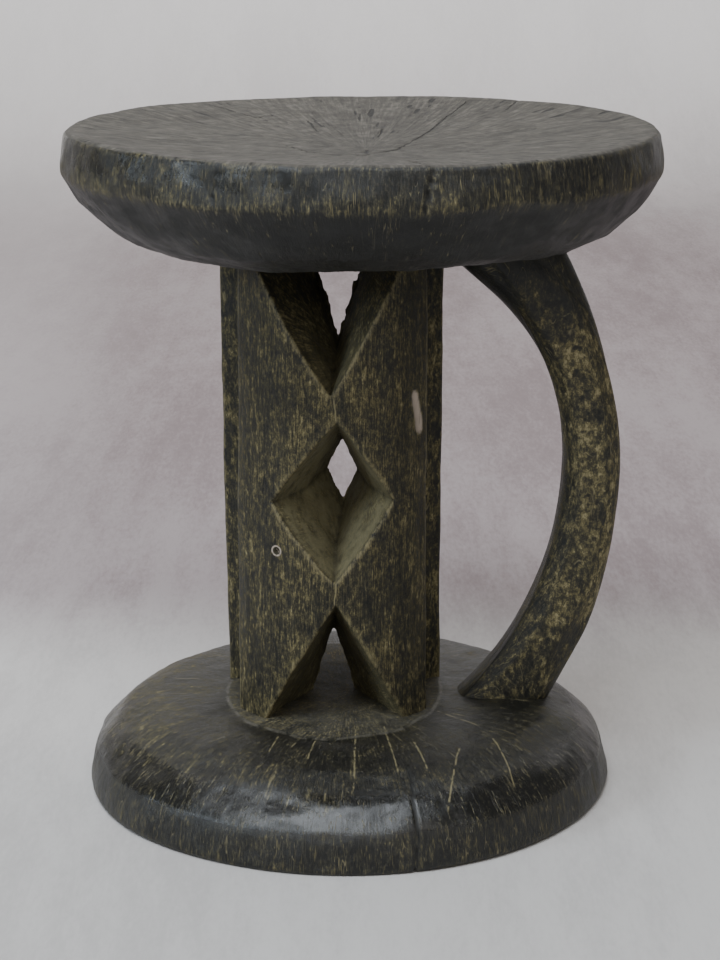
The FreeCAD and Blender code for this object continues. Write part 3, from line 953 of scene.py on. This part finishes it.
def base_wood():
    tree = Tree("base_wood", (BASE_X, BASE_Y))
    band = tree.step(tree.z, 24, 17)
    from_drum = tree.attribute("from_drum")
    foot = tree.step(from_drum, 73, 70)
    # Lighter on the left of the dome: painted light falling from the left.
    left = tree.times(tree.step(tree.x, -60, -130), tree.step(tree.z, 20, 30), 0.05)
    shine = tree.times(tree.step(tree.z, 17, 23), tree.step(tree.z, 37, 31))
    lift = tree.plus(-0.02, tree.times(band, -0.015), left, tree.times(foot, 0.05), tree.times(shine, -0.03))
    colour, tone, height, rough = patina(tree, lift, shine)
    streaks = tree.times(tree.step(tree.rays(0.9, 9, 6, 3.0, 0.7), 0.56, 0.66), band, 0.6)
    colour = tree.mix(streaks, colour, OCHRE)
    x, y = tree.plus(tree.x, -BASE_X), tree.plus(tree.y, -BASE_Y)
    fine = tree.times(tree.step(tree.rays(2.6, 80, 24, 1.0), 0.68, 0.76), tree.step(tree.z, 28, 34), 0.7)
    for path in BASE_LINES:
        ends = [
            (reach * math.cos(math.radians(turn)), reach * math.sin(math.radians(turn)))
            for turn, reach in path
        ]
        line = tree.times(tree.crack(x, y, *ends, 0.65, 1.0), tree.step(tree.z, 18, 24))
        fine = tree.math("MAXIMUM", fine, line)
    fine = tree.times(fine, tree.step(tree.noise((4, 4, 4), 3.0), 0.34, 0.54))
    colour = tree.mix(tree.times(fine, 0.65), colour, STRAW)
    specks = tree.step(tree.noise((1.3, 1.3, 1.3), 2.0), 0.56, 0.66)
    ring = tree.step(tree.math("ABSOLUTE", tree.plus(from_drum, -72.5)), 1.8, 0.4)
    patches = tree.step(tree.noise((13, 13, 13), 4.0), 0.40, 0.62)
    dust = tree.times(foot, tree.plus(tree.times(specks, 0.45), tree.times(patches, 0.22)))
    ring = tree.times(ring, tree.step(tree.noise((6, 6, 6), 3.0), 0.35, 0.55), 0.7)
    dust = tree.math("MAXIMUM", dust, ring)
    colour = rubbed(tree, colour, tone, 0.15)
    colour = tree.mix(dust, colour, DUST)
    colour = tree.mix(tree.attribute("crack"), colour, BLACK)
    rough = tree.plus(rough, tree.times(foot, 0.25), tree.times(tree.attribute("crack"), 0.4))
    return tree.finish(colour, rough, height, 0.35, 0.45)


# Stage

def plaster(name):
    """Pale floor that turns faintly pink and mottled behind the stool, and paler further up. The darker pink
    band is painted shade, and its lighter left side and the paler far part are painted light.
    """
    tree = Tree(name)
    cloud = tree.times(tree.noise((130, 520, 260), 4.0, 0.6), 0.65)
    smear = tree.times(tree.noise((16, 70, 36), 4.0, 0.7), 0.35)
    grit = tree.times(tree.plus(tree.noise((3, 12, 8), 3.0, 0.7), -0.5), 0.35)
    mottled = tree.step(tree.plus(cloud, smear, grit), 0.34, 0.64)
    floor = tree.mix(mottled, (0.425, 0.408, 0.396), (0.495, 0.479, 0.463))
    # A faint pink tint, darkened as painted shade behind the stool and lightened to the left as painted
    # light.
    pink = tree.mix(mottled, (0.212, 0.172, 0.175), (0.300, 0.262, 0.264))
    pink = tree.mix(tree.step(tree.x, -150, -430, 0.0, 0.6), pink, (0.440, 0.410, 0.412))
    pale = tree.mix(mottled, (0.780, 0.765, 0.755), (0.820, 0.805, 0.795))
    tone = tree.mix(tree.step(tree.y, 130, 330), floor, pink)
    # Paler further up: painted light.
    tone = tree.mix(tree.step(tree.plus(tree.y, tree.z), 1500, 3200), tone, pale)
    surface = tree.node("ShaderNodeBsdfPrincipled", {"Base Color": tone, "Roughness": 0.9})
    tree.node("ShaderNodeOutputMaterial", {"Surface": surface})
    return tree.material


def build_stage():
    """A pale floor that turns up into a wall far behind the stool."""
    wall, reach, bend = 3000.0, 4000.0, 900.0
    turn = np.linspace(0, math.pi / 2, 17)
    outline = [(-reach, 0.0)]
    outline += [(wall - bend + bend * math.sin(a), bend - bend * math.cos(a)) for a in turn]
    outline.append((wall, reach))
    points, quads = [], []
    for y, z in outline:
        points += [(-reach * MM, y * MM, z * MM), (reach * MM, y * MM, z * MM)]
    for k in range(len(outline) - 1):
        quads.append((2 * k, 2 * k + 1, 2 * k + 3, 2 * k + 2))
    mesh = bpy.data.meshes.new("backdrop")
    mesh.from_pydata(points, [], quads)
    mesh.shade_smooth()
    mesh.materials.append(plaster("backdrop"))
    backdrop = bpy.data.objects.new("backdrop", mesh)
    bpy.context.scene.collection.objects.link(backdrop)


def add_light(name, place, target, size, energy, colour):
    light = bpy.data.lights.new(name, "AREA")
    light.shape = "RECTANGLE"
    light.size, light.size_y = size
    light.energy = energy
    light.color = colour
    lamp = bpy.data.objects.new(name, light)
    lamp.location = place
    way = Vector(target) - Vector(place)
    lamp.rotation_euler = way.to_track_quat("-Z", "Y").to_euler()
    bpy.context.scene.collection.objects.link(lamp)


def build_lights():
    add_light("window", (-1.60, -0.95, 0.95), (0, 0, 0.3), (0.6, 0.5), 19, (0.76, 0.88, 1.0))
    add_light("overhead", (-0.40, -0.85, 1.75), (0, 0, 0.1), (1.2, 0.6), 34, (0.88, 0.94, 1.0))
    add_light("room", (0.4, -2.6, 1.7), (0, 0, 0.15), (2.6, 1.6), 32, (1.0, 0.97, 0.93))
    add_light("backdrop_wash", (0, 0.9, 2.2), (0, 2.6, 0), (2.8, 0.8), 52, (1.0, 0.97, 0.96))
    world = bpy.data.worlds.new("soft_room")
    world.use_nodes = True
    world.node_tree.nodes["Background"].inputs["Color"].default_value = (0.9, 0.9, 0.9, 1)
    world.node_tree.nodes["Background"].inputs["Strength"].default_value = 0.26
    bpy.context.scene.world = world


def build_camera():
    camera = bpy.data.cameras.new("camera")
    camera.sensor_width = 36.0
    camera.lens = 87.12
    eye = bpy.data.objects.new("camera", camera)
    eye.location = (-0.00098, -1.17676, 0.48541)
    eye.rotation_euler = (math.pi / 2 - 0.27, 0, 0)
    bpy.context.scene.collection.objects.link(eye)
    bpy.context.scene.camera = eye


seat_skin().build("carved_seat", "seat", "seat_wood", seat_wood())
base_skin().build("carved_base", "base", "base_wood", base_wood())
drum = drum_wood()
front_wall = wall_skin(-1, FRONT_RADIUS, ((47.8, 50.0), (48.3, 49.2)), 41)
front_wall.build("carved_front_wall", "front_wall", "drum_wood", drum)
rear_wall = wall_skin(1, REAR_RADIUS, ((59.4, 58.2), (58.2, 58.0)), 51)
rear_wall.build("carved_rear_wall", "rear_wall", "drum_wood", drum)
handle_skin().build("carved_handle", "handle", "handle_wood", handle_wood())
build_stage()
build_lights()
build_camera()
